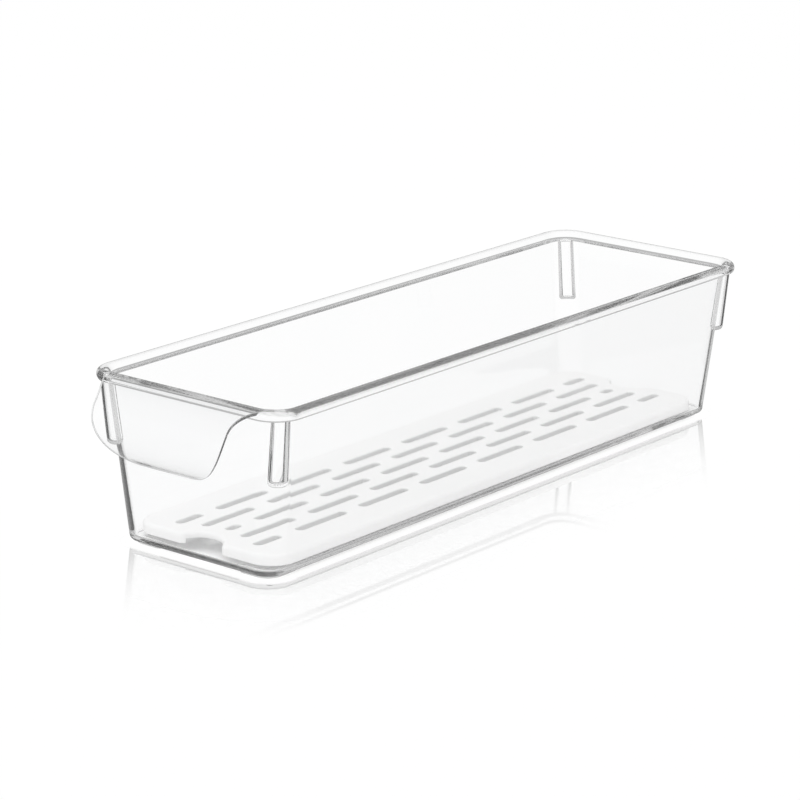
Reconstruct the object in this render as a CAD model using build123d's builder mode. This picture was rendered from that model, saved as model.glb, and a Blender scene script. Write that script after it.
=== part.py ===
from build123d import *
import os
from math import cos, isclose, radians, sin, tan

# Clear fridge storage bin with a pull lip on its front end and a loose slotted drain tray.
# Millimetres. +Z is up, the front end with the lip faces -Y and the width lies along X.
# The origin is on the shelf, at the middle of the box that holds the whole bin, lip included.

# Rim
RIM_LENGTH = 320.0  # outside the bead, front to back, without the lip
RIM_WIDTH = 104.0  # outside the bead, side to side
BIN_HEIGHT = 72.0  # shelf to the top of the rim
RIM_CORNER_RADIUS = 13.5  # outside the bead, seen from above
BEAD_OVERHANG = 4.0  # how far the bead stands out from the wall
BEAD_HEIGHT = 4.6
BEAD_OUTER_RADIUS = 2.1
BEAD_INNER_RADIUS = 2.2

# Walls and floor
WALL = 1.4
FLOOR = 2.0
SIDE_DRAFT = 6.2  # degrees, the long walls lean out
END_DRAFT = 2.9  # degrees, the end walls lean out
BASE_CORNER_RADIUS = 9.6  # outside, seen from above
BASE_EDGE_RADIUS = 2.0
FLOOR_CORNER_RADIUS = 1.4  # inside, where the floor turns into the walls

# Corner feet under the floor
FOOT_HEIGHT = 1.25
FOOT_WIDTH = 3.6
FOOT_INSET = 3.0  # from the outside of the base
FOOT_REACH = 19.0  # along each side from the square corner of the base
FOOT_END_RADIUS = 1.4

# Stacking posts under the rim, one on each corner
POST_LENGTH = 27.3  # below the bead
POST_RADIUS = 4.1  # at the foot
POST_TAPER = 0.3  # radius lost between the foot of the post and its head
FRONT_POST_ANGLE = 35.5  # degrees round the corner, from the long wall
BACK_POST_ANGLE = 48.0
POST_FOOT_DEPTH = 0.5  # how far inside the wall's outside the post's axis stands
POST_HEAD_DEPTH = 1.0
POST_EDGE_RADIUS = 1.4
POST_ROOT = 1.8  # how far the post runs up into the bead

# Pull lip on the front end
LIP_RADIUS = 17.0  # outside of the curl
LIP_THICKNESS = 1.4
LIP_SETBACK = 2.9  # from the front of the rim back to the centre of the curl
LIP_TOP_DROP = 0.5  # from the top of the rim down to the top of the curl
LIP_DEPTH = 31.2  # from the top of the rim down to the lip's lower edge
LIP_WIDTH = 70.0  # between the straight sides
LIP_FLARE_RADIUS = 5.8  # where the sides run out into the rim
LIP_FLARE_DROP = 2.2  # from the top of the rim down to where the flare meets it
LIP_SIDE_STRAIGHT = 0.6  # between the flare and the round lower corner
LIP_EDGE_RADIUS = 0.5

# Drain tray
TRAY_SIDE_CLEARANCE = 1.3
TRAY_END_CLEARANCE = 5.0
TRAY_SHIFT = -1.2  # from the middle of the bin towards the front, where the loose tray lies
TRAY_HEIGHT = 5.5  # feet included
TRAY_FOOT_HEIGHT = 1.2  # gap under the skirt
TRAY_PLATE = 2.4
TRAY_SKIRT = 1.6
TRAY_EDGE_RADIUS = 1.8
TRAY_CORNER_RADIUS = 11.0  # seen from above
TRAY_FOOT_RADIUS = 2.5
TRAY_FOOT_SIDE_INSET = 10.0  # from the tray's long edge to a foot's axis
TRAY_FOOT_END_INSET = 12.0  # from the tray's short edge to a foot's axis
NOTCH_WIDTH = 20.6
NOTCH_DEPTH = 8.0
NOTCH_MOUTH_RADIUS = 3.0
SLOT_WIDTH = 4.0
SLOT_GAP = 9.5  # between the ends of two slots in one row
SLOT_END_MARGIN = 12.7  # from the tray's short edge to the longest rows
SLOT_ROW_PITCH = 10.4
SLOT_COLUMNS = 7  # full slots in the longest rows
END_SLOT_LENGTH = 14.4  # short slots that close the two outer rows
NOTCH_SLOT_LENGTH = 7.8  # shorter ones beside the notches in the middle row
SLOT_EDGE_RADIUS = 0.6

# Levels
FLOOR_TOP = FOOT_HEIGHT + FLOOR
BEAD_UNDERSIDE = BIN_HEIGHT - BEAD_HEIGHT
POST_FOOT = BEAD_UNDERSIDE - POST_LENGTH
POST_HEAD = BEAD_UNDERSIDE + POST_ROOT
LIP_CENTRE_Z = BIN_HEIGHT - LIP_TOP_DROP - LIP_RADIUS
LIP_FOOT = BIN_HEIGHT - LIP_DEPTH
LIP_FLARE_TOP = BIN_HEIGHT - LIP_FLARE_DROP
TRAY_TOP = FLOOR_TOP + TRAY_HEIGHT
TRAY_SKIRT_FOOT = FLOOR_TOP + TRAY_FOOT_HEIGHT
TRAY_PLATE_UNDERSIDE = TRAY_TOP - TRAY_PLATE

# The lip reaches past the rim, so the bin's own middle lies behind the origin
LIP_REACH = LIP_RADIUS - LIP_SETBACK
MIDDLE_Y = LIP_REACH / 2
RIM_FRONT_Y = MIDDLE_Y - RIM_LENGTH / 2
LIP_CENTRE_Y = RIM_FRONT_Y + LIP_SETBACK
SELECT_TOLERANCE = 0.01

os.makedirs("parts", exist_ok=True)


def level(height):
    """Horizontal plane at a height, centred on the bin."""
    return Plane(origin=(0, MIDDLE_Y, height))


def tray_level(height):
    """Horizontal plane at a height, centred on the tray."""
    return Plane(origin=(0, MIDDLE_Y + TRAY_SHIFT, height))


def wall_plan(height, inset=0.0):
    """Width, length and corner radius of the walls' outside at a height, moved in by inset."""
    below_rim = BIN_HEIGHT - height
    width = RIM_WIDTH - 2 * (BEAD_OVERHANG + below_rim * tan(radians(SIDE_DRAFT)))
    length = RIM_LENGTH - 2 * (BEAD_OVERHANG + below_rim * tan(radians(END_DRAFT)))
    rim_radius = RIM_CORNER_RADIUS - BEAD_OVERHANG
    share = below_rim / (BIN_HEIGHT - FOOT_HEIGHT)
    radius = rim_radius + (BASE_CORNER_RADIUS - rim_radius) * share
    return width - 2 * inset, length - 2 * inset, radius - inset


def post_circles(height, inset=0.0):
    """Centres and radii of the right-hand posts, front and back, at a height, moved in by inset."""
    share = (height - POST_FOOT) / (POST_HEAD - POST_FOOT)
    depth = POST_FOOT_DEPTH + (POST_HEAD_DEPTH - POST_FOOT_DEPTH) * share
    width, length, radius = wall_plan(height)
    circles = []
    for end, angle in ((-1, FRONT_POST_ANGLE), (1, BACK_POST_ANGLE)):
        reach_x = (radius - depth) * cos(radians(angle))
        reach_y = (radius - depth) * sin(radians(angle))
        centre = (width / 2 - radius + reach_x, end * (length / 2 - radius + reach_y))
        circles.append((centre, POST_RADIUS - POST_TAPER * share - inset))
    return circles


def loft_posts(foot, head, inset=0.0):
    """Adds the right-hand posts between two heights to the active part, moved in by inset."""
    for foot_circle, head_circle in zip(post_circles(foot, inset), post_circles(head, inset)):
        sections = []
        for height, (centre, radius) in ((foot, foot_circle), (head, head_circle)):
            with BuildSketch(level(height)) as section:
                with Locations(centre):
                    Circle(radius)
            sections.append(section.sketch)
        loft(sections=sections, ruled=True)


# Pull lip: a curled sheet with a bell outline when seen from the front
half_lip = LIP_WIDTH / 2
half_flare = half_lip + LIP_FLARE_RADIUS
lip_flare_foot = LIP_FLARE_TOP - LIP_FLARE_RADIUS
lip_side_foot = lip_flare_foot - LIP_SIDE_STRAIGHT
lip_corner_radius = lip_side_foot - LIP_FOOT
corner_cut = lip_corner_radius * (1 - cos(radians(45)))
flare_cut = LIP_FLARE_RADIUS * (1 - cos(radians(45)))
with BuildPart() as lip:
    with BuildSketch(Plane.YZ):
        with Locations((LIP_CENTRE_Y, LIP_CENTRE_Z)):
            Circle(LIP_RADIUS)
            Circle(LIP_RADIUS - LIP_THICKNESS, mode=Mode.SUBTRACT)
            Rectangle(
                LIP_RADIUS,
                2 * LIP_RADIUS,
                align=(Align.MIN, Align.CENTER),
                mode=Mode.SUBTRACT,
            )
    extrude(amount=half_flare, both=True)
    with BuildSketch(Plane.XZ):
        with BuildLine():
            Line((0, LIP_FOOT), (half_lip - lip_corner_radius, LIP_FOOT))
            ThreePointArc(
                (half_lip - lip_corner_radius, LIP_FOOT),
                (half_lip - corner_cut, LIP_FOOT + corner_cut),
                (half_lip, lip_side_foot),
            )
            Line((half_lip, lip_side_foot), (half_lip, lip_flare_foot))
            ThreePointArc(
                (half_lip, lip_flare_foot),
                (half_lip + flare_cut, LIP_FLARE_TOP - flare_cut),
                (half_flare, LIP_FLARE_TOP),
            )
            Line((half_flare, LIP_FLARE_TOP), (half_flare, BIN_HEIGHT))
            Line((half_flare, BIN_HEIGHT), (0, BIN_HEIGHT))
            mirror(about=Plane.YZ)
        make_face()
    extrude(amount=-LIP_CENTRE_Y + LIP_RADIUS, mode=Mode.INTERSECT)
    fillet(
        edges().filter_by(lambda edge: edge.center().Y < LIP_CENTRE_Y - SELECT_TOLERANCE),
        LIP_EDGE_RADIUS,
    )

# Stacking posts: tapered round bulges that lean with the corners, cut off halfway through the wall
with BuildPart() as posts:
    loft_posts(POST_FOOT, POST_HEAD)
    fillet(faces().group_by(Axis.Z)[0].edges(), POST_EDGE_RADIUS)
    mirror(about=Plane.YZ)
    with BuildSketch(level(FOOT_HEIGHT)) as core_foot:
        RectangleRounded(*wall_plan(FOOT_HEIGHT, WALL / 2))
    with BuildSketch(level(BIN_HEIGHT)) as core_head:
        RectangleRounded(*wall_plan(BIN_HEIGHT, WALL / 2))
    loft(sections=[core_foot.sketch, core_head.sketch], ruled=True, mode=Mode.SUBTRACT)

# Grooves on the inside that leave the posts as thin as the walls
with BuildPart() as grooves:
    loft_posts(POST_FOOT + WALL, BEAD_UNDERSIDE, WALL)
    mirror(about=Plane.YZ)

# Clear bin: one moulding with walls, floor, bead, lip, posts and feet
with BuildPart() as clear_bin:
    with BuildSketch(level(FOOT_HEIGHT)):
        RectangleRounded(*wall_plan(FOOT_HEIGHT))
    with BuildSketch(level(BIN_HEIGHT)):
        RectangleRounded(*wall_plan(BIN_HEIGHT))
    loft(ruled=True)
    fillet(faces().sort_by(Axis.Z)[0].edges(), BASE_EDGE_RADIUS)

    with BuildSketch(level(BEAD_UNDERSIDE)):
        RectangleRounded(RIM_WIDTH, RIM_LENGTH, RIM_CORNER_RADIUS)
    bead = extrude(amount=BEAD_HEIGHT, mode=Mode.PRIVATE)
    bead_edges = bead.faces().filter_by(Axis.Z).edges()
    add(bead.fillet(BEAD_OUTER_RADIUS, bead_edges))

    with BuildSketch(level(FLOOR_TOP)) as cavity_floor:
        RectangleRounded(*wall_plan(FLOOR_TOP, WALL))
    with BuildSketch(level(BIN_HEIGHT)) as cavity_mouth:
        RectangleRounded(*wall_plan(BIN_HEIGHT, WALL))
    cavity_sections = [cavity_floor.sketch, cavity_mouth.sketch]
    cavity = loft(sections=cavity_sections, ruled=True, mode=Mode.PRIVATE)
    cavity_edges = cavity.faces().sort_by(Axis.Z)[0].edges()
    add(cavity.fillet(FLOOR_CORNER_RADIUS, cavity_edges), mode=Mode.SUBTRACT)
    fillet(faces().sort_by(Axis.Z)[-1].inner_wires()[0].edges(), BEAD_INNER_RADIUS)

    with BuildSketch(level(0)) as foot_plan:
        base_width, base_length = wall_plan(FOOT_HEIGHT)[:2]
        RectangleRounded(*wall_plan(FOOT_HEIGHT, FOOT_INSET))
        RectangleRounded(*wall_plan(FOOT_HEIGHT, FOOT_INSET + FOOT_WIDTH), mode=Mode.SUBTRACT)
        Rectangle(base_width, base_length - 2 * FOOT_REACH, mode=Mode.SUBTRACT)
        Rectangle(base_width - 2 * FOOT_REACH, base_length, mode=Mode.SUBTRACT)
        foot_ends = foot_plan.vertices().filter_by(
            lambda v: isclose(abs(v.X), base_width / 2 - FOOT_REACH, abs_tol=SELECT_TOLERANCE)
            or isclose(abs(v.Y), base_length / 2 - FOOT_REACH, abs_tol=SELECT_TOLERANCE)
        )
        fillet(foot_ends, FOOT_END_RADIUS)
    extrude(foot_plan.sketch, amount=FOOT_HEIGHT + FLOOR / 2)
    add(posts.part)
    add(grooves.part, mode=Mode.SUBTRACT)
    add(lip.part)
clear_bin.part.label = "clear_bin"
export_step(clear_bin.part, "parts/clear_bin.step")

# Drain tray: a slotted plate on a low skirt, with a finger notch through both in each short end
cavity_width, cavity_length = wall_plan(TRAY_SKIRT_FOOT, WALL)[:2]
tray_width = cavity_width - 2 * TRAY_SIDE_CLEARANCE
tray_length = cavity_length - 2 * TRAY_END_CLEARANCE
notch_radius = (NOTCH_DEPTH**2 + (NOTCH_WIDTH / 2) ** 2) / (2 * NOTCH_DEPTH)
notch_offset = notch_radius - NOTCH_DEPTH
slot_pitch = (tray_length - 2 * SLOT_END_MARGIN + SLOT_GAP) / SLOT_COLUMNS
slot_length = slot_pitch - SLOT_GAP
short_row = (SLOT_COLUMNS - 1) * slot_pitch
end_slot_start = short_row / 2 + SLOT_GAP / 2
with BuildPart() as drain_tray:
    with BuildSketch(tray_level(TRAY_SKIRT_FOOT)) as tray_plan:
        RectangleRounded(tray_width, tray_length, TRAY_CORNER_RADIUS)
        with Locations((0, tray_length / 2 + notch_offset), (0, -tray_length / 2 - notch_offset)):
            Circle(notch_radius, mode=Mode.SUBTRACT)
        mouths = tray_plan.vertices().filter_by(
            lambda v: abs(v.X) < NOTCH_WIDTH / 2 + SELECT_TOLERANCE
        )
        fillet(mouths, NOTCH_MOUTH_RADIUS)
    extrude(amount=TRAY_TOP - TRAY_SKIRT_FOOT)
    fillet(faces().sort_by(Axis.Z)[-1].edges(), TRAY_EDGE_RADIUS)
    with BuildSketch(tray_level(TRAY_SKIRT_FOOT)):
        RectangleRounded(
            tray_width - 2 * TRAY_SKIRT,
            tray_length - 2 * TRAY_SKIRT,
            TRAY_CORNER_RADIUS - TRAY_SKIRT,
        )
    extrude(amount=TRAY_PLATE_UNDERSIDE - TRAY_SKIRT_FOOT, mode=Mode.SUBTRACT)

    with BuildSketch(tray_level(FLOOR_TOP)):
        foot_x = tray_width / 2 - TRAY_FOOT_SIDE_INSET
        foot_y = tray_length / 2 - TRAY_FOOT_END_INSET
        with GridLocations(2 * foot_x, foot_y, 2, 3):
            Circle(TRAY_FOOT_RADIUS)
    extrude(amount=TRAY_PLATE_UNDERSIDE - FLOOR_TOP)

    with BuildSketch(tray_level(TRAY_PLATE_UNDERSIDE)):
        with GridLocations(2 * SLOT_ROW_PITCH, slot_pitch, 3, SLOT_COLUMNS - 1):
            SlotOverall(slot_length, SLOT_WIDTH, rotation=90)
        with GridLocations(2 * SLOT_ROW_PITCH, slot_pitch, 2, SLOT_COLUMNS):
            SlotOverall(slot_length, SLOT_WIDTH, rotation=90)
        with GridLocations(4 * SLOT_ROW_PITCH, 2 * end_slot_start + END_SLOT_LENGTH, 2, 2):
            SlotOverall(END_SLOT_LENGTH, SLOT_WIDTH, rotation=90)
        with GridLocations(0, 2 * end_slot_start + NOTCH_SLOT_LENGTH, 1, 2):
            SlotOverall(NOTCH_SLOT_LENGTH, SLOT_WIDTH, rotation=90)
    extrude(amount=TRAY_PLATE, mode=Mode.SUBTRACT)
    slot_rims = faces().sort_by(Axis.Z)[-1].inner_wires()
    fillet([edge for rim in slot_rims for edge in rim.edges()], SLOT_EDGE_RADIUS)
drain_tray.part.label = "drain_tray"
export_step(drain_tray.part, "parts/drain_tray.step")
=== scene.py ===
"""Clear fridge storage bin with its white drain tray: skin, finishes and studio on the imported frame."""

from math import acos, atan2, cos, pi, radians, sin, tan

import bmesh
import bpy
from bpy.props import FloatProperty, FloatVectorProperty, PointerProperty
from mathutils import Euler, Matrix, Vector


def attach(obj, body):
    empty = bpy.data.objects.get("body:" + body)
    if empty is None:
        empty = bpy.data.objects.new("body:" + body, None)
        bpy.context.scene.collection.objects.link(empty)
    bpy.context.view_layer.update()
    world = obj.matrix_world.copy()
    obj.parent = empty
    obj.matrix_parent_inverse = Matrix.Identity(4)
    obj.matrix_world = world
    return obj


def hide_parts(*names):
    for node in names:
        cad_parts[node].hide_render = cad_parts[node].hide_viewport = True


bl_info = {
    "name": "Fridge Storage Bin",
    "version": (1, 0, 0),
    "blender": (4, 5, 0),
    "location": "3D View > Sidebar > Fridge Bin",
    "description": "Models a clear storage bin, dresses its drain tray and sets a white studio round them",
    "category": "Object",
}

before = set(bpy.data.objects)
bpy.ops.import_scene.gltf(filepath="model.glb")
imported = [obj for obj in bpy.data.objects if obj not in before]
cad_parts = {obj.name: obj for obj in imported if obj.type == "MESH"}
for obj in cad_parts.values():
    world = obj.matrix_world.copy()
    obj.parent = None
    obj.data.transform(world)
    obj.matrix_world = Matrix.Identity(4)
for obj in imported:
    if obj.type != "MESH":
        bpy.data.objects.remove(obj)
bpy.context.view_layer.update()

# How finely the mesh follows its curves
CORNER_STEPS = 64
FILLET_STEPS = 12
POST_STEPS = 160
CORE_STEPS = 24
RISE_STEPS = 6
LIP_STEP = 0.0006  # metres along the lip's outline
SLIVER = 5e-6  # metres, below which two points are one
CREASE = radians(30.0)  # past which an edge stays sharp

# Least numbers of turns that light has made, each less half a turn so that a test takes it in
ONCE = 0.5
TWICE = 1.5
OFTEN = 4.5
FAR = 19.5

# How often Cycles follows light round in the clear plastic
MOST_BOUNCES = 160
GLOSSY_BOUNCES = 140
CLEAR_BOUNCES = 32

WHITE = (1.0, 1.0, 1.0, 1.0)
SENSOR_WIDTH = 36.0  # millimetres
VIEW_DEPTH = 20.0  # metres


class Wire:
    """An output socket of a shader tree. Arithmetic on it adds Math nodes to that tree."""

    def __init__(self, tree, socket):
        self.tree = tree
        self.socket = socket

    @classmethod
    def node(cls, tree, kind, settings=None, sockets=None, output=0):
        """Adds a node, sets its settings, then its socket values or links, and wraps one output."""
        made = tree.nodes.new(kind)
        for name, value in (settings or {}).items():
            setattr(made, name, value)
        for name, value in (sockets or {}).items():
            if isinstance(value, cls):
                tree.links.new(value.socket, made.inputs[name])
            else:
                made.inputs[name].default_value = value
        return cls(tree, made.outputs[output]) if made.outputs else None

    def sibling(self, name):
        """Another output of the node that this socket belongs to."""
        return Wire(self.tree, self.socket.node.outputs[name])

    def maths(self, operation, *values):
        """A Math node on values and sockets."""
        return Wire.node(self.tree, "ShaderNodeMath", {"operation": operation}, dict(enumerate(values)))

    def __add__(self, other):
        return self.maths("ADD", self, other)

    __radd__ = __add__

    def __sub__(self, other):
        return self.maths("SUBTRACT", self, other)

    def __rsub__(self, other):
        return self.maths("SUBTRACT", other, self)

    def __mul__(self, other):
        return self.maths("MULTIPLY", self, other)

    __rmul__ = __mul__

    def __gt__(self, other):
        return self.maths("GREATER_THAN", self, other)


def fresh_tree(owner):
    """The owner's emptied node tree."""
    owner.use_nodes = True
    owner.node_tree.nodes.clear()
    return owner.node_tree


def noise(tree, coords, scale, detail):
    """Soft noise on the piece's own coordinates, between 0 and 1."""
    return Wire.node(
        tree,
        "ShaderNodeTexNoise",
        {"noise_dimensions": "3D", "normalize": True},
        {"Vector": coords, "Scale": scale, "Detail": detail},
    )


def blend_colour(tree, amount, first, second):
    """A colour that goes from the first to the second with the amount.

    A Mix node has like-named sockets for each kind of data, and these numbers are the colours' own.
    """
    return Wire.node(
        tree,
        "ShaderNodeMix",
        {"data_type": "RGBA", "clamp_factor": True},
        {0: amount, 6: first, 7: second},
        output=2,
    )


def blend(amount, first, second):
    """A shader that goes from the first to the second with the amount."""
    return Wire.node(first.tree, "ShaderNodeMixShader", None, {0: amount, 1: first, 2: second})


def bump(tree, strength, depth, height):
    """Normals that follow a height pattern."""
    return Wire.node(
        tree,
        "ShaderNodeBump",
        None,
        {"Strength": strength, "Distance": depth, "Height": height},
    )


def length(name, description, metres, least=0.0):
    """A length setting."""
    return FloatProperty(
        name=name, description=description, default=metres, min=least, precision=5, unit="LENGTH"
    )


def factor(name, description, share, most=1.0):
    """A setting from 0 to 1, or to less where more would spoil the look."""
    return FloatProperty(
        name=name, description=description, default=share, min=0.0, max=most, subtype="FACTOR"
    )


def turn(name, description, degrees):
    """An angle setting."""
    return FloatProperty(name=name, description=description, default=radians(degrees), subtype="ANGLE")


def number(name, description, value, least=0.0):
    """A plain setting without a unit."""
    return FloatProperty(name=name, description=description, default=value, min=least)


def colour(name, description, red, green, blue):
    """A colour setting."""
    return FloatVectorProperty(
        name=name,
        description=description,
        default=(red, green, blue, 1.0),
        size=4,
        min=0.0,
        max=1.0,
        subtype="COLOR",
    )


def position(name, description, metres):
    """A setting for a place in space."""
    return FloatVectorProperty(
        name=name,
        description=description,
        default=metres,
        size=3,
        subtype="TRANSLATION",
        unit="LENGTH",
    )


class BinShapeProperties(bpy.types.PropertyGroup):
    """Sizes of the clear bin, as in its solid."""

    rim_length: length("Rim length", "Outside the bead, front to back, without the lip", 0.320)
    rim_width: length("Rim width", "Outside the bead, side to side", 0.104)
    height: length("Height", "Shelf to the top of the rim", 0.072)
    rim_corner: length("Rim corner", "Corner radius outside the bead, seen from above", 0.0135)
    bead_overhang: length("Bead overhang", "How far the bead stands out from the wall", 0.004)
    bead_height: length("Bead height", "Height of the bead", 0.0046)
    bead_outer: length("Bead outer radius", "Rounding of the bead's outer edges", 0.0021)
    bead_inner: length("Bead inner radius", "Rounding of the mouth", 0.0022)
    wall: length("Wall", "Thickness of the walls", 0.0014)
    floor: length("Floor", "Thickness of the floor", 0.002)
    side_draft: turn("Side draft", "Lean of the long walls", 6.2)
    end_draft: turn("End draft", "Lean of the end walls", 2.9)
    base_corner: length("Base corner", "Corner radius of the base, seen from above", 0.0096)
    base_edge: length("Base edge", "Rounding of the lower edge", 0.002)
    floor_corner: length("Floor corner", "Rounding between floor and walls", 0.0014)
    foot_height: length("Foot height", "Height of the corner feet", 0.00125)
    foot_width: length("Foot width", "Width of the corner feet", 0.0036)
    foot_inset: length("Foot inset", "From the outside of the base to the feet", 0.003)
    foot_reach: length("Foot reach", "Along each side from the square corner of the base", 0.019)
    foot_end: length("Foot end", "Rounding of the feet's ends", 0.0014)
    post_length: length("Post length", "Length of the posts below the bead", 0.0273)
    post_radius: length("Post radius", "Radius at the foot of a post", 0.0041)
    post_taper: length("Post taper", "Radius lost between foot and head", 0.0003)
    post_front: turn("Front post angle", "Place round the corner, from the long wall", 35.5)
    post_back: turn("Back post angle", "Place round the corner, from the long wall", 48.0)
    post_foot_depth: length("Post foot depth", "How far inside the wall's outside the axis stands", 0.0005)
    post_head_depth: length("Post head depth", "How far inside the wall's outside the axis ends", 0.001)
    post_edge: length("Post edge", "Rounding of the foot of a post", 0.0014)
    groove_edge: length("Groove edge", "Rounding of the foot of the hollow behind a post", 0.001)
    post_root: length("Post root", "How far a post runs up into the bead", 0.0018)
    lip_radius: length("Lip radius", "Outside of the curl", 0.017)
    lip_thickness: length("Lip thickness", "Thickness of the curl", 0.0014)
    lip_setback: length("Lip setback", "From the front of the rim back to the centre of the curl", 0.0029)
    lip_drop: length("Lip drop", "From the top of the rim down to the top of the curl", 0.0005)
    lip_depth: length("Lip depth", "From the top of the rim down to the lip's lower edge", 0.0312)
    lip_width: length("Lip width", "Between the straight sides", 0.070)
    lip_flare: length("Lip flare", "Radius where the sides run out into the rim", 0.0069)
    lip_flare_drop: length("Lip flare drop", "From the top of the rim to where the flare ends", 0.0006)
    lip_straight: length("Lip straight", "Between the flare and the round lower corner", 0.0006)
    lip_edge: length("Lip edge", "Rounding of the lip's edge", 0.00065)


class ClearPlasticProperties(bpy.types.PropertyGroup):
    """Finish of the clear bin."""

    tint: colour("Tint", "Colour of the clear plastic where it is purest", 1.0, 1.0, 1.0)
    haze: colour("Haze", "Colour of its faint cloudy patches", 0.985, 0.988, 0.99)
    haze_scale: number("Haze scale", "Cloudy patches in a metre", 22.0)
    ior: number("Index of refraction", "How strongly the plastic bends light", 1.5, least=1.0)
    roughness: factor("Roughness", "Roughness of the polished surface", 0.03, most=0.15)
    roughness_swing: factor("Roughness swing", "What dull spots add to the roughness", 0.012)
    spot_scale: number("Spot scale", "Dull spots in a metre", 160.0)
    mirror_tint: colour("Mirror tint", "Tone of the head-on reflections", 0.15, 0.15, 0.15)
    flow_strength: factor("Flow waves", "Strength of the slow waves that moulding leaves", 0.004)
    flow_scale: number("Flow scale", "Slow waves in a metre", 14.0)
    flow_depth: length("Flow depth", "Height of the slow waves at full strength", 0.001)


class WhitePlasticProperties(bpy.types.PropertyGroup):
    """Finish of the drain tray."""

    body: colour("Body colour", "Colour of the tray's satin plastic", 0.93, 0.93, 0.93)
    patch: colour("Patch colour", "Colour of its faintly darker patches", 0.905, 0.905, 0.902)
    patch_scale: number("Patch scale", "Darker patches in a metre", 18.0)
    ior: number("Index of refraction", "How strongly the surface reflects", 1.49, least=1.0)
    roughness: factor("Roughness", "Mean roughness of the satin surface", 0.42)
    roughness_swing: factor("Roughness swing", "From the smoothest patch to the roughest", 0.08)
    grain_strength: factor("Grain", "Strength of the fine moulded grain", 0.06)
    grain_scale: number("Grain scale", "Grains in a metre", 1400.0)
    grain_depth: length("Grain depth", "Height of the grain at full strength", 0.0002)


class StudioProperties(bpy.types.PropertyGroup):
    """Floor, light and camera round the bin."""

    floor_size: length("Floor size", "Width of the seamless white floor", 6.0, least=1.0)
    floor_colour: colour("Floor colour", "Colour of the floor where light falls on it", 0.97, 0.97, 0.97)
    floor_glow: factor("Floor glow", "Share of the floor that is plain white whatever falls on it", 0.96)
    shade_depth: length("Shade depth", "Inside the bin's lower edge, from where its shadow is full", 0.006)
    floor_mirror: factor("Floor mirror", "Share of the floor that mirrors the bin", 0.85)
    mirror_reach: length("Mirror reach", "How far out the floor mirrors the bin", 0.07, least=0.001)
    gap_start: length("Gap start", "Outside the bin's lower edge, where the mirror sets in", 0.002)
    gap_end: length("Gap end", "Outside the bin's lower edge, where the mirror is full", 0.005)
    sky_once: factor("Sky, once turned", "Level above in light that the bin has turned once", 0.35)
    sky_often: factor("Sky, often turned", "Level above in light that the bin has turned often", 0.62)
    sky_bent: factor("Sky, bent", "Level above in light that the bin's rounded edges bend upwards", 0.5)
    # Painted shade: the floor glows at the gloss, floor and far levels below only in light that the bin
    # has reflected or turned, which paints the dull gloss and dark edges of the clear plastic.
    sky_gloss: factor("Sky, gloss", "Level above and around in the bin's outer gloss", 0.35)
    floor_once: factor("Floor, once turned", "Level behind and left in light turned once", 0.06)
    floor_facing: factor("Floor before", "Level before and right in light turned once", 0.7)
    floor_under: factor("Floor under the bin", "Level under the bin in light turned once", 0.5)
    floor_twice: factor("Floor, turned again", "Level of the floor in light turned a few times", 0.72)
    floor_often: factor("Floor, often turned", "Level of the floor in light turned many times", 0.64)
    far_level: factor("Far light", "Level above and behind in light led the whole length of the bin", 0.07)
    horizon: factor("Horizon", "Height, as a sine, up to which the backdrop stays white", 0.4)
    dome_level: number("Dome level", "Level of the soft white light from all round", 0.88)
    lamp_power: FloatProperty(
        name="Lamp power",
        description="Power of the large soft lamp",
        default=7.8,
        min=0.0,
        unit="POWER",
    )
    lamp_size: length("Lamp size", "Side of the large soft lamp", 1.2, least=0.1)
    lamp_place: position("Lamp place", "Where the lamp hangs", (-0.35, -0.05, 1.55))
    lamp_aim: position("Lamp aim", "What the lamp points at", (0.0, 0.0, 0.03))
    camera_place: position("Camera place", "Where the camera stands", (0.81792, -1.02486, 0.42143))
    camera_turn: FloatVectorProperty(
        name="Camera turn",
        description="Tilt, roll and heading of the camera",
        default=(radians(73.543), 0.0, radians(39.048)),
        size=3,
        subtype="EULER",
    )
    camera_roll: FloatProperty(
        name="Camera roll",
        description="Small turn of the picture about the line of sight",
        default=0.0057,
        subtype="ANGLE",
    )
    lens: FloatProperty(
        name="Lens",
        description="Focal length of the camera",
        default=144.35,
        min=1.0,
        unit="CAMERA",
    )


class FridgeBinProperties(bpy.types.PropertyGroup):
    """All the settings of the scene."""

    shape: PointerProperty(type=BinShapeProperties)
    clear_plastic: PointerProperty(type=ClearPlasticProperties)
    white_plastic: PointerProperty(type=WhitePlasticProperties)
    studio: PointerProperty(type=StudioProperties)


def plastic(name, sockets):
    """A material whose Principled shader takes what sockets gives for its tree and coordinates."""
    material = bpy.data.materials.new(name)
    tree = fresh_tree(material)
    coords = Wire.node(tree, "ShaderNodeTexCoord", output="Object")
    surface = Wire.node(tree, "ShaderNodeBsdfPrincipled", None, sockets(tree, coords))
    Wire.node(tree, "ShaderNodeOutputMaterial", None, {"Surface": surface})
    return material


def clear_plastic(look):
    """Polished clear plastic with faint cloudiness and slow moulding waves."""

    def sockets(tree, coords):
        haze = noise(tree, coords, look.haze_scale, detail=3.0)
        spots = noise(tree, coords, look.spot_scale, detail=2.0)
        waves = noise(tree, coords, look.flow_scale, detail=1.0)
        return {
            "Base Color": blend_colour(tree, haze, look.tint, look.haze),
            "Roughness": look.roughness + look.roughness_swing * spots,
            "IOR": look.ior,
            "Specular Tint": look.mirror_tint,
            "Transmission Weight": 1.0,
            "Normal": bump(tree, look.flow_strength, look.flow_depth, waves),
        }

    return plastic("clear_plastic_polished", sockets)


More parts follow.
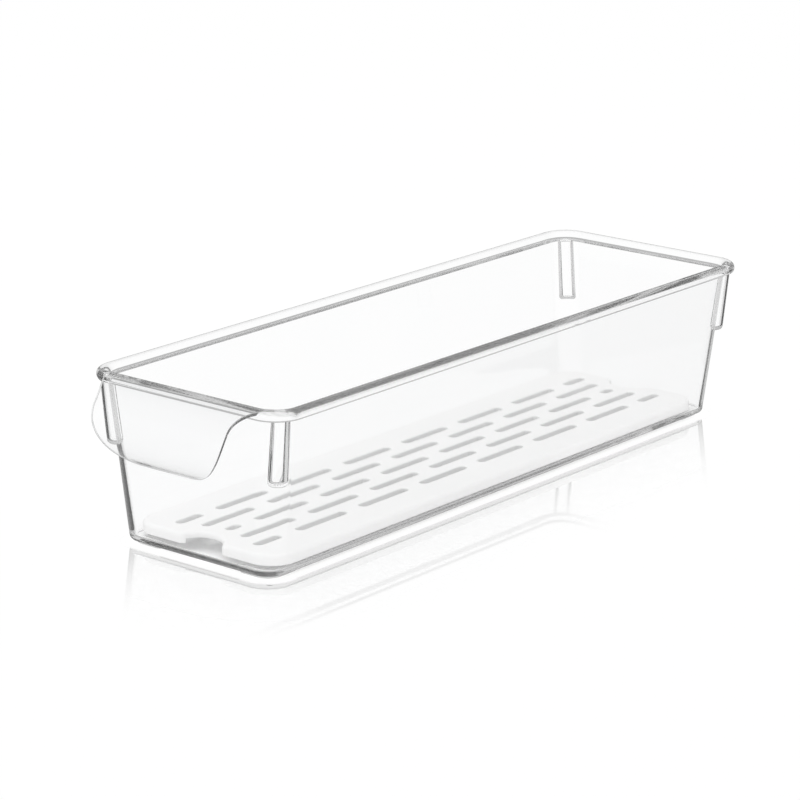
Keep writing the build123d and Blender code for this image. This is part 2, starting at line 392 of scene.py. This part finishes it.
def white_plastic(look):
    """Satin white plastic with a fine moulded grain and faint patches."""

    def sockets(tree, coords):
        patches = noise(tree, coords, look.patch_scale, detail=3.0)
        grain = noise(tree, coords, look.grain_scale, detail=2.0)
        return {
            "Base Color": blend_colour(tree, patches, look.body, look.patch),
            "Roughness": look.roughness + look.roughness_swing * (patches - 0.5),
            "IOR": look.ior,
            "Normal": bump(tree, look.grain_strength, look.grain_depth, grain),
        }

    return plastic("white_plastic_satin", sockets)


class RayPath:
    """What a ray has met on its way, for the shaders of the studio."""

    def __init__(self, tree):
        path = Wire.node(tree, "ShaderNodeLightPath", output="Is Camera Ray")
        entered = path.sibling("Transmission Depth") > ONCE
        turns = path.sibling("Glossy Depth")
        turned = turns > ONCE
        sharp = path.sibling("Is Singular Ray")
        self.camera = path
        self.direct = 1.0 - (path.sibling("Diffuse Depth") > ONCE)
        self.bent = entered * (1.0 - turned) * self.direct
        self.trapped = entered * turned * self.direct
        self.twice = turns > TWICE
        self.often = turns > OFTEN
        self.far = turns > FAR
        self.gloss = (1.0 - entered) * turned * (1.0 - sharp) * self.direct


class BinForm:
    """Levels and plans of the bin, worked out from its sizes."""

    def __init__(self, size):
        self.size = size
        self.middle = (size.lip_radius - size.lip_setback) / 2
        self.floor_top = size.foot_height + size.floor
        self.bead_underside = size.height - size.bead_height

    def wall_plan(self, height, inset=0.0):
        """Half width, half length and corner radius of the walls' outside, moved in by inset.

        Corners that move in lose half the inset, which keeps the view through them straight.
        """
        size = self.size
        below = size.height - height
        half_width = size.rim_width / 2 - size.bead_overhang - below * tan(size.side_draft)
        half_length = size.rim_length / 2 - size.bead_overhang - below * tan(size.end_draft)
        rim_radius = size.rim_corner - size.bead_overhang
        share = below / (size.height - size.foot_height)
        radius = rim_radius + (size.base_corner - rim_radius) * share
        return half_width - inset, half_length - inset, radius - inset / 2

    def corner(self, height, east, north):
        """Centre and radius of a wall corner's outside at a height."""
        half_width, half_length, radius = self.wall_plan(height)
        centre = Vector((east * (half_width - radius), self.middle + north * (half_length - radius)))
        return centre, radius

    def ring(self, plan, side, end):
        """Points round a rounded rectangle. Side and end hold how far out and how high it lies there."""
        half_width, half_length, radius = plan
        radius += (side[0] + end[0]) / 2
        points = []
        for quarter in range(4):
            east = 1 if quarter in (0, 3) else -1
            north = 1 if quarter in (0, 1) else -1
            for step in range(CORNER_STEPS + 1):
                angle = (quarter + step / CORNER_STEPS) * pi / 2
                share = sin(angle) ** 2
                x = east * (half_width + side[0] - radius) + radius * cos(angle)
                y = self.middle + north * (half_length + end[0] - radius) + radius * sin(angle)
                points.append((x, y, side[1] * (1.0 - share) + end[1] * share))
        return points


def foot_point(radius, draft, share, level):
    """A point on the round edge between a flat base and a leaning wall."""
    angle = share * (pi / 2 - draft) - pi / 2
    out = radius * cos(angle) - radius * (1.0 - sin(draft)) / cos(draft)
    return out, level + radius + radius * sin(angle)


def mouth_point(radius, draft, share, level):
    """A point on the round edge between the flat top and the inside of a leaning wall."""
    angle = share * (pi / 2 - draft) + pi / 2
    out = radius * cos(angle) + radius * (1.0 - sin(draft)) / cos(draft)
    return out, level - radius + radius * sin(angle)


def grow(shape, row, edges, points):
    """Extrudes a row of points along its edges and moves the new row to where it belongs."""
    grown = bmesh.ops.extrude_edge_only(shape, edges=edges)["geom"]
    fresh = {part for part in grown if isinstance(part, bmesh.types.BMVert)}
    edges = [part for part in grown if isinstance(part, bmesh.types.BMEdge)]
    ends = [[edge.other_vert(vert) for edge in vert.link_edges] for vert in row]
    row = [next(end for end in near if end in fresh) for near in ends]
    for vert, point in zip(row, points):
        vert.co = point
    return row, edges


def skin(shape, rings):
    """Grows the first ring from ring to ring and closes both ends with a flat cap."""
    ring = [shape.verts.new(point) for point in rings[0]]
    edges = [shape.edges.new(pair) for pair in zip(ring, ring[1:] + ring[:1])]
    bmesh.ops.edgeloop_fill(shape, edges=edges)
    for points in rings[1:]:
        ring, edges = grow(shape, ring, edges, points)
    bmesh.ops.edgeloop_fill(shape, edges=edges)


def add_vessel(shape, form):
    """Floor, walls and bead in one skin, from the underside up, over the rim and down inside."""
    size = form.size
    drafts = (size.side_draft, size.end_draft)
    steps = [step / FILLET_STEPS for step in range(FILLET_STEPS + 1)]
    rings = []
    base = form.wall_plan(size.foot_height)
    for share in steps:
        side, end = (foot_point(size.base_edge, draft, share, size.foot_height) for draft in drafts)
        rings.append(form.ring(base, side, end))
    neck = (0.0, form.bead_underside)
    rings.append(form.ring(form.wall_plan(form.bead_underside), neck, neck))
    bead = (size.rim_width / 2, size.rim_length / 2, size.rim_corner)
    lower, upper = form.bead_underside + size.bead_outer, size.height - size.bead_outer
    for level, start in ((lower, -1.0), (upper, 0.0)):
        for share in steps:
            angle = (start + share) * pi / 2
            point = (size.bead_outer * (cos(angle) - 1.0), level + size.bead_outer * sin(angle))
            rings.append(form.ring(bead, point, point))
    mouth = form.wall_plan(size.height, size.wall)
    for share in steps:
        side, end = (mouth_point(size.bead_inner, draft, share, size.height) for draft in drafts)
        rings.append(form.ring(mouth, side, end))
    cavity = form.wall_plan(form.floor_top, size.wall)
    for share in reversed(steps):
        side, end = (foot_point(size.floor_corner, draft, share, form.floor_top) for draft in drafts)
        rings.append(form.ring(cavity, side, end))
    skin(shape, rings)


def post_circle(form, east, north, height):
    """Centre and radius of a stacking post at a height."""
    size = form.size
    foot = form.bead_underside - size.post_length
    share = (height - foot) / (size.post_length + size.post_root)
    depth = size.post_foot_depth + (size.post_head_depth - size.post_foot_depth) * share
    angle = size.post_front if north < 0 else size.post_back
    centre, radius = form.corner(height, east, north)
    heading = Vector((east * cos(angle), north * sin(angle)))
    return centre + heading * (radius - depth), size.post_radius - size.post_taper * share


def post_levels(foot, head, edge):
    """Heights up a post with what its rounded foot takes off the radius there."""
    levels = []
    for step in range(FILLET_STEPS + 1):
        angle = step / FILLET_STEPS * pi / 2
        levels.append((foot + edge * (1.0 - cos(angle)), edge * (1.0 - sin(angle))))
    start = foot + edge
    for step in range(1, RISE_STEPS + 1):
        levels.append((start + (head - start) * step / RISE_STEPS, 0.0))
    return levels


def add_post(shape, form, east, north):
    """A tapered stacking post on one corner, from halfway through the wall outwards."""
    size = form.size
    foot = form.bead_underside - size.post_length
    head = form.bead_underside + size.post_root
    rings = []
    for height, cut in post_levels(foot, head, size.post_edge):
        middle, radius = post_circle(form, east, north, height)
        radius -= cut
        centre, corner_radius = form.corner(height, east, north)
        core = corner_radius - size.wall / 2
        away = middle - centre
        facing = atan2(away.y, away.x)
        apart = away.length
        spread = acos((apart**2 + core**2 - radius**2) / (2 * apart * core))
        reach = atan2(core * sin(spread), core * cos(spread) - apart)
        points = []
        for step in range(POST_STEPS + 1):
            angle = facing + reach * (2 * step / POST_STEPS - 1)
            points.append((middle.x + radius * cos(angle), middle.y + radius * sin(angle), height))
        for step in range(1, CORE_STEPS):
            angle = facing + spread * (1 - 2 * step / CORE_STEPS)
            points.append((centre.x + core * cos(angle), centre.y + core * sin(angle), height))
        rings.append(points)
    skin(shape, rings)


def add_groove(shape, form, east, north):
    """The hollow behind a post, which leaves it as thin as the walls."""
    size = form.size
    foot = form.bead_underside - size.post_length + size.wall
    rings = []
    for height, cut in post_levels(foot, form.bead_underside, size.groove_edge):
        middle, radius = post_circle(form, east, north, height)
        radius -= size.wall + cut
        points = []
        for step in range(POST_STEPS):
            angle = 2 * pi * step / POST_STEPS
            points.append((middle.x + radius * cos(angle), middle.y + radius * sin(angle), height))
        rings.append(points)
    skin(shape, rings)


def add_foot(shape, form, east, north):
    """A low corner foot under the floor."""
    size = form.size
    half_width, half_length, radius = form.wall_plan(size.foot_height)
    outer, inner = size.foot_inset, size.foot_inset + size.foot_width
    end_x, end_y = half_width - size.foot_reach, half_length - size.foot_reach
    edge = size.foot_end
    arcs = (
        (half_width - outer - edge, end_y + edge, edge, -1, 0),
        (half_width - radius, half_length - radius, radius - outer, 0, 1),
        (end_x + edge, half_length - outer - edge, edge, 1, 2),
        (end_x + edge, half_length - inner + edge, edge, 2, 3),
        (half_width - radius, half_length - radius, radius - inner, 1, 0),
        (half_width - inner + edge, end_y + edge, edge, 2, 3),
    )
    plan = []
    for x, y, bend, first, last in arcs:
        for step in range(FILLET_STEPS + 1):
            angle = (first + (last - first) * step / FILLET_STEPS) * pi / 2
            plan.append((east * (x + bend * cos(angle)), form.middle + north * (y + bend * sin(angle))))
    levels = (0.0, size.foot_height + size.floor / 2)
    skin(shape, [[(x, y, height) for x, y in plan] for height in levels])


def lip_outline(form):
    """Right half of the lip's outline seen from the front, from the rim down to the lower edge."""
    size = form.size
    top = size.height - size.lip_drop
    flare_top = size.height - size.lip_flare_drop
    flare_foot = flare_top - size.lip_flare
    side_foot = flare_foot - size.lip_straight
    foot = size.height - size.lip_depth
    half = size.lip_width / 2
    corner = side_foot - foot
    points = [(half + size.lip_flare, top)]
    for centre_x, centre_z, bend, first, last in (
        (half + size.lip_flare, flare_foot, size.lip_flare, 1, 2),
        (half - corner, side_foot, corner, 0, -1),
    ):
        count = round(bend * pi / 2 / LIP_STEP)
        for step in range(count + 1):
            angle = (first + (last - first) * step / count) * pi / 2
            points.append((centre_x + bend * cos(angle), centre_z + bend * sin(angle)))
    return points


def lip_rows(form):
    """Points across the lip's round edge, row by row down its right side and along to the middle."""
    size = form.size
    centre_y = form.middle - size.rim_length / 2 + size.lip_setback
    centre_z = size.height - size.lip_drop - size.lip_radius
    half = size.lip_thickness / 2
    bend = size.lip_radius - half
    flat = [(x, bend * acos(min(1.0, (z - centre_z) / size.lip_radius))) for x, z in lip_outline(form)]
    profile = []
    for side in (1, -1):
        for step in range(FILLET_STEPS + 1):
            angle = (FILLET_STEPS - step if side > 0 else step) / FILLET_STEPS * pi / 2
            inset = size.lip_edge * (1.0 - cos(angle))
            profile.append((inset, side * (half - size.lip_edge + size.lip_edge * sin(angle))))
    last = len(flat) - 1
    rows = []
    for place, (x, run) in enumerate(flat):
        before, after = flat[max(place - 1, 0)], flat[min(place + 1, last)]
        along = Vector((after[0] - before[0], after[1] - before[1])).normalized()
        if place == 0:
            along = Vector((0.0, 1.0))
        if place == last:
            along = Vector((-1.0, 0.0))
        points = []
        for inset, lift in profile:
            angle = (run + inset * along.x) / bend
            radius = bend + lift
            y = centre_y - radius * sin(angle)
            z = centre_z + radius * cos(angle)
            points.append((x - inset * along.y, y, z))
        rows.append(points)
    rows.append([(0.0, y, z) for _, y, z in rows[-1]])
    return rows


def add_lip(shape, form):
    """The curled pull lip, a bent sheet with a round edge, as the first shape in a mesh.

    The right half's edge grows along its outline, its two faces grow in to the middle, and a mirror
    makes the left half.
    """
    first, *others = lip_rows(form)
    row = [shape.verts.new(point) for point in first]
    edges = [shape.edges.new(pair) for pair in zip(row, row[1:])]
    grown = [row]
    for points in others:
        row, edges = grow(shape, row, edges, points)
        grown.append(row)
    for end in (0, -1):
        border = [row[end] for row in grown[:-1]]
        edges = [shape.edges.get(pair) for pair in zip(border, border[1:])]
        grow(shape, border, edges, [(0.0, vert.co.y, vert.co.z) for vert in border])
    bmesh.ops.remove_doubles(shape, verts=shape.verts, dist=SLIVER)
    geom = shape.verts[:] + shape.edges[:] + shape.faces[:]
    bmesh.ops.mirror(shape, geom=geom, axis="X", merge_dist=SLIVER)
    bmesh.ops.edgeloop_fill(shape, edges=[edge for edge in shape.edges if edge.is_boundary])


def solid(name, fill):
    """A new object at the origin whose closed mesh is made by fill, with its normals outwards."""
    shape = bmesh.new()
    fill(shape)
    bmesh.ops.recalc_face_normals(shape, faces=shape.faces)
    mesh = bpy.data.meshes.new(name)
    shape.to_mesh(mesh)
    shape.free()
    piece = bpy.data.objects.new(name, mesh)
    bpy.context.scene.collection.objects.link(piece)
    return piece


def combine(piece, other, operation):
    """Makes one closed skin of two overlapping pieces and drops the second."""
    cut = piece.modifiers.new("combine", "BOOLEAN")
    cut.operation = operation
    cut.solver = "EXACT"
    cut.object = other
    graph = bpy.context.evaluated_depsgraph_get()
    mesh = bpy.data.meshes.new_from_object(piece.evaluated_get(graph))
    piece.modifiers.clear()
    shape = bmesh.new()
    shape.from_mesh(mesh)
    bmesh.ops.remove_doubles(shape, verts=shape.verts, dist=SLIVER)
    bmesh.ops.triangulate(shape, faces=[face for face in shape.faces if len(face.verts) > 4])
    bmesh.ops.dissolve_degenerate(shape, dist=SLIVER, edges=shape.edges)
    shape.to_mesh(mesh)
    shape.free()
    piece.data = mesh
    bpy.data.objects.remove(other)


def smooth(piece):
    """Smooth shading with sharp creases, in which the large flat faces keep their own normals."""
    mesh = piece.data
    mesh.polygons.foreach_set("use_smooth", [True] * len(mesh.polygons))
    mesh.set_sharp_from_angle(angle=CREASE)
    weighted = piece.modifiers.new("flat_faces_first", "WEIGHTED_NORMAL")
    weighted.mode = "FACE_AREA"
    weighted.keep_sharp = True


def moulding(size):
    """The whole clear bin as one closed skin."""
    form = BinForm(size)
    corners = ((1, 1), (1, -1), (-1, 1), (-1, -1))

    def fittings(shape):
        add_lip(shape, form)
        for east, north in corners:
            add_post(shape, form, east, north)
            add_foot(shape, form, east, north)

    def grooves(shape):
        for east, north in corners:
            add_groove(shape, form, east, north)

    piece = solid("clear_bin_moulding", lambda shape: add_vessel(shape, form))
    combine(piece, solid("bin_fittings", fittings), "UNION")
    combine(piece, solid("post_grooves", grooves), "DIFFERENCE")
    smooth(piece)
    return piece


class FRIDGEBIN_OT_clear_bin(bpy.types.Operator):
    """Models the clear bin in polished plastic"""

    bl_idname = "fridgebin.clear_bin"
    bl_label = "Clear Bin"

    def execute(self, context):
        settings = context.scene.fridge_bin
        piece = moulding(settings.shape)
        piece.data.materials.append(clear_plastic(settings.clear_plastic))
        piece.visible_diffuse = False
        piece.visible_shadow = False
        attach(piece, "bin")
        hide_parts("clear_bin")
        return {"FINISHED"}


class FRIDGEBIN_OT_drain_tray(bpy.types.Operator):
    """Gives the drain tray its satin white plastic"""

    bl_idname = "fridgebin.drain_tray"
    bl_label = "Drain Tray"

    def execute(self, context):
        material = white_plastic(context.scene.fridge_bin.white_plastic)
        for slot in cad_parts["drain_tray"].material_slots:
            slot.material = material
        return {"FINISHED"}


def white_world(scene, studio):
    """White surroundings that light the bin softly and show dark only in its edges."""
    world = bpy.data.worlds.new("white_studio")
    scene.world = world
    tree = fresh_tree(world)
    ray = RayPath(tree)

    def level(strength):
        return Wire.node(tree, "ShaderNodeBackground", None, {"Color": WHITE, "Strength": strength})

    heading = Wire.node(tree, "ShaderNodeTexCoord", output="Generated")
    height = Wire.node(tree, "ShaderNodeSeparateXYZ", None, {0: heading}, output="Z")
    once = blend(height > studio.horizon, level(1.0), level(studio.sky_once))
    often = blend(ray.far, level(studio.sky_often), level(studio.far_level))
    turned = blend(ray.twice, once, often)
    shown = blend(ray.bent, level(1.0), level(studio.sky_bent))
    shown = blend(ray.trapped, shown, turned)
    shown = blend(ray.gloss, shown, level(studio.sky_gloss))
    seen = blend(ray.direct, level(studio.dome_level), shown)
    Wire.node(tree, "ShaderNodeOutputWorld", None, {"Surface": seen})


def floor_spot(tree, form):
    """Place on the floor across and along the bin, from its middle."""
    spot = Wire.node(tree, "ShaderNodeTexCoord", output="Object")
    across = Wire.node(tree, "ShaderNodeSeparateXYZ", None, {0: spot}, output="X")
    return across, across.sibling("Y") - form.middle


def base_distance(spot, form):
    """Distance on the floor from the outline of the bin's base, below 0 under the bin."""
    half_width, half_length, radius = form.wall_plan(form.size.foot_height)
    across, along = spot
    maths = across.maths
    across = maths("ABSOLUTE", across) - (half_width - radius)
    along = maths("ABSOLUTE", along) - (half_length - radius)
    inside = maths("MINIMUM", maths("MAXIMUM", across, along), 0.0)
    across = maths("MAXIMUM", across, 0.0)
    along = maths("MAXIMUM", along, 0.0)
    return maths("SQRT", across * across + along * along) + inside - radius


def ramp(value, start, end):
    """A smooth rise from 0 at the start to 1 at the end."""
    return Wire.node(
        value.tree,
        "ShaderNodeMapRange",
        {"interpolation_type": "SMOOTHSTEP"},
        {"Value": value, "From Min": start, "From Max": end},
    )


def floor_sides(spot, form):
    """Where the floor lies before or right of the bin, and where behind or left of it, each 0 or 1."""
    half_width, half_length, _ = form.wall_plan(form.size.height)
    across, along = spot
    facing = across.maths("MAXIMUM", across > half_width, -1.0 * along > half_length)
    behind = across.maths("MAXIMUM", -1.0 * across > half_width, along > half_length)
    return facing, behind


def floor_material(size, studio):
    """White floor that keeps a soft shadow and a faint mirror image of the bin. In light that the bin has
    turned or reflected it glows at darker levels, as painted shade in the bin's edges and gloss.
    """
    material = bpy.data.materials.new("white_floor")
    tree = fresh_tree(material)
    ray = RayPath(tree)
    form = BinForm(size)
    spot = floor_spot(tree, form)
    distance = base_distance(spot, form)

    def level(strength):
        return Wire.node(tree, "ShaderNodeEmission", None, {"Color": WHITE, "Strength": strength})

    lit = Wire.node(tree, "ShaderNodeBsdfDiffuse", None, {"Color": studio.floor_colour})
    glowing = ramp(distance, -studio.shade_depth, 0.0) * studio.floor_glow * ray.direct
    pale = blend(glowing, lit, level(1.0))
    mirror = Wire.node(tree, "ShaderNodeBsdfGlossy", None, {"Color": WHITE, "Roughness": 0.0})
    fading = distance.maths("MAXIMUM", 1.0 - distance * (1.0 / studio.mirror_reach), 0.0)
    mirrored = ramp(distance, studio.gap_start, studio.gap_end) * fading * fading
    polished = blend(mirrored * studio.floor_mirror * ray.camera, pale, mirror)
    # Painted shade: light that the bin has turned meets the floor at these darker glows instead of the
    # white floor, which paints the dark edges and lines of the clear plastic.
    facing, behind = floor_sides(spot, form)
    hidden = blend(behind, level(studio.floor_under), level(studio.floor_once))
    once = blend(facing, hidden, level(studio.floor_facing))
    often = blend(ray.far * behind, level(studio.floor_often), level(studio.far_level))
    again = blend(ray.often, level(studio.floor_twice), often)
    turned = blend(ray.twice, once, again)
    # Painted reflection: in the bin's outer gloss the floor glows at the darker gloss level.
    glinting = blend(ray.gloss, polished, level(studio.sky_gloss))
    edges = blend(ray.trapped, glinting, turned)
    Wire.node(tree, "ShaderNodeOutputMaterial", None, {"Surface": edges})
    return material


def add_floor(scene, size, studio):
    """The seamless floor that the bin stands on."""
    mesh = bpy.data.meshes.new("studio_floor")
    shape = bmesh.new()
    bmesh.ops.create_grid(shape, x_segments=1, y_segments=1, size=studio.floor_size / 2)
    shape.to_mesh(mesh)
    shape.free()
    floor = bpy.data.objects.new("studio_floor", mesh)
    floor.data.materials.append(floor_material(size, studio))
    scene.collection.objects.link(floor)


def add_lamp(scene, studio):
    """The large soft lamp above, which is itself seen nowhere."""
    light = bpy.data.lights.new("soft_lamp", "AREA")
    light.shape = "SQUARE"
    light.size = studio.lamp_size
    light.energy = studio.lamp_power
    lamp = bpy.data.objects.new("soft_lamp", light)
    lamp.location = studio.lamp_place
    beam = Vector(studio.lamp_aim) - Vector(studio.lamp_place)
    lamp.rotation_euler = beam.to_track_quat("-Z", "Y").to_euler()
    lamp.visible_camera = False
    lamp.visible_glossy = False
    lamp.visible_transmission = False
    scene.collection.objects.link(lamp)


def add_camera(scene, studio):
    """The camera where the photo was taken from."""
    lens = bpy.data.cameras.new("photo_camera")
    lens.lens = studio.lens
    lens.sensor_width = SENSOR_WIDTH
    lens.sensor_fit = "HORIZONTAL"
    lens.clip_end = VIEW_DEPTH
    camera = bpy.data.objects.new("photo_camera", lens)
    aim = Euler(studio.camera_turn).to_matrix() @ Matrix.Rotation(studio.camera_roll, 3, "Z")
    camera.matrix_world = Matrix.Translation(studio.camera_place) @ aim.to_4x4()
    scene.collection.objects.link(camera)
    scene.camera = camera


class FRIDGEBIN_OT_studio(bpy.types.Operator):
    """Sets the white floor, the soft light and the camera"""

    bl_idname = "fridgebin.studio"
    bl_label = "Studio"

    def execute(self, context):
        scene = context.scene
        studio = scene.fridge_bin.studio
        white_world(scene, studio)
        add_floor(scene, scene.fridge_bin.shape, studio)
        add_lamp(scene, studio)
        add_camera(scene, studio)
        scene.view_settings.view_transform = "Standard"
        scene.cycles.max_bounces = MOST_BOUNCES
        scene.cycles.glossy_bounces = GLOSSY_BOUNCES
        scene.cycles.transmission_bounces = CLEAR_BOUNCES
        return {"FINISHED"}


class FRIDGEBIN_PT_sidebar(bpy.types.Panel):
    """Lists the sizes, finishes and studio settings beside the buttons that use them"""

    bl_idname = "FRIDGEBIN_PT_sidebar"
    bl_label = "Fridge Bin"
    bl_space_type = "VIEW_3D"
    bl_region_type = "UI"
    bl_category = "Fridge Bin"

    def draw(self, context):
        settings = context.scene.fridge_bin
        for operator, groups in (
            (FRIDGEBIN_OT_clear_bin, (settings.shape, settings.clear_plastic)),
            (FRIDGEBIN_OT_drain_tray, (settings.white_plastic,)),
            (FRIDGEBIN_OT_studio, (settings.studio,)),
        ):
            box = self.layout.box()
            box.operator(operator.bl_idname)
            for group in groups:
                for name in group.__annotations__:
                    box.prop(group, name)


CLASSES = (
    BinShapeProperties,
    ClearPlasticProperties,
    WhitePlasticProperties,
    StudioProperties,
    FridgeBinProperties,
    FRIDGEBIN_OT_clear_bin,
    FRIDGEBIN_OT_drain_tray,
    FRIDGEBIN_OT_studio,
    FRIDGEBIN_PT_sidebar,
)


def register():
    """Registers the classes and hangs the settings on the scene."""
    for cls in CLASSES:
        bpy.utils.register_class(cls)
    bpy.types.Scene.fridge_bin = PointerProperty(type=FridgeBinProperties)


def unregister():
    """Takes the settings and the classes away again."""
    del bpy.types.Scene.fridge_bin
    for cls in reversed(CLASSES):
        bpy.utils.unregister_class(cls)


def main():
    """Models the bin, dresses the tray and sets the stage."""
    register()
    bpy.ops.fridgebin.clear_bin()
    bpy.ops.fridgebin.drain_tray()
    bpy.ops.fridgebin.studio()


if __name__ == "__main__":
    main()
